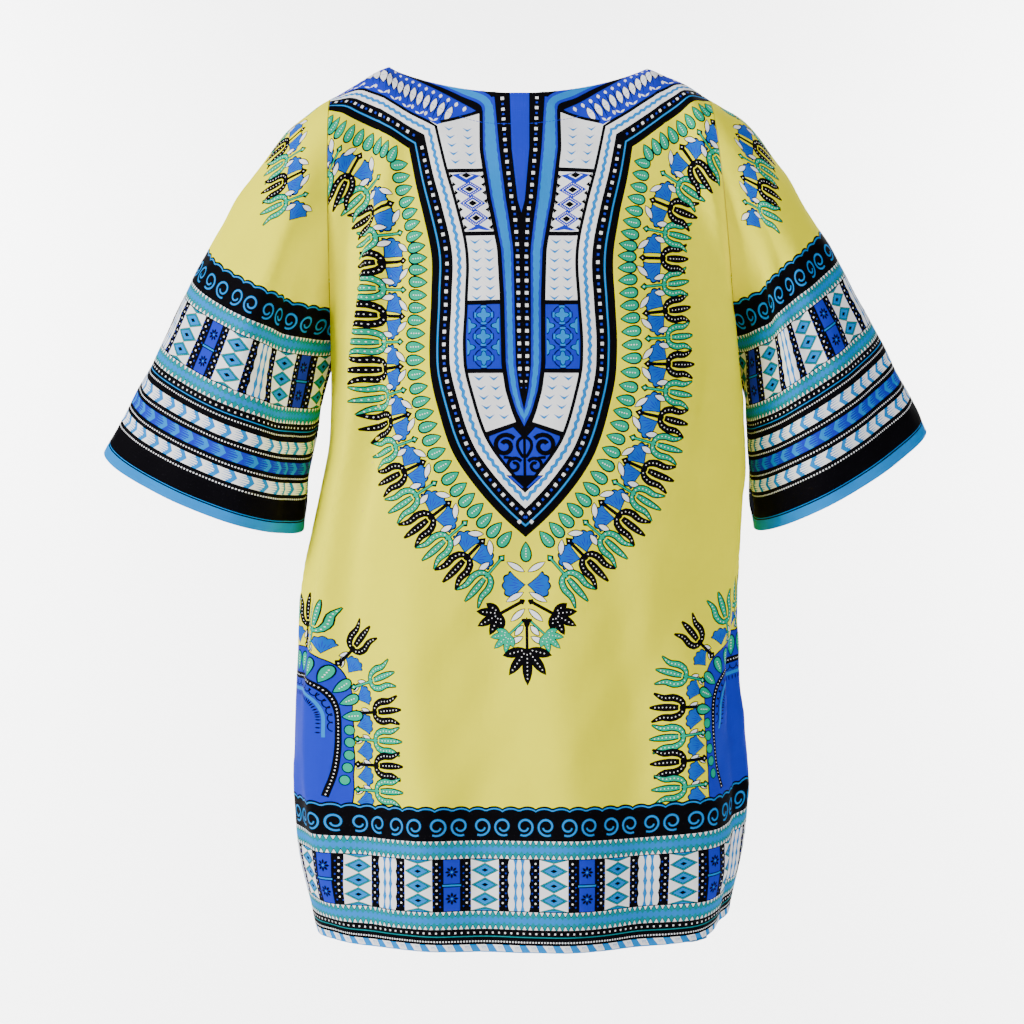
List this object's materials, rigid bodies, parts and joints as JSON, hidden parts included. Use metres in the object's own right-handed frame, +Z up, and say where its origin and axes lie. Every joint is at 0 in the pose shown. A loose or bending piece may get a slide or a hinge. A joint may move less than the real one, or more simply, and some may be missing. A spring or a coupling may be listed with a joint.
{
  "type": "dashiki shirt",
  "caption": "Loose pullover tunic of printed cotton with wide sleeves, an open neck with a V in front and side vents, held open as it is worn.",
  "frame": {"origin": "middle of the neck opening at the height of the two shoulder seams' neck ends, where the wearer's shoulders hold the garment up", "axes": "+Z up along the body, +Y the way the wearer faces, +X to the wearer's right"},
  "size_m": [0.771, 0.2738, 0.8117],
  "materials": {
    "body_cloth": "printed plain-weave cotton, matt",
    "sleeve_cloth": "printed plain-weave cotton, matt"
  },
  "bodies": {
    "root": {"back": "body_cloth", "front": "body_cloth", "sleeve_left": "sleeve_cloth", "sleeve_right": "sleeve_cloth"}
  },
  "joints": []
}
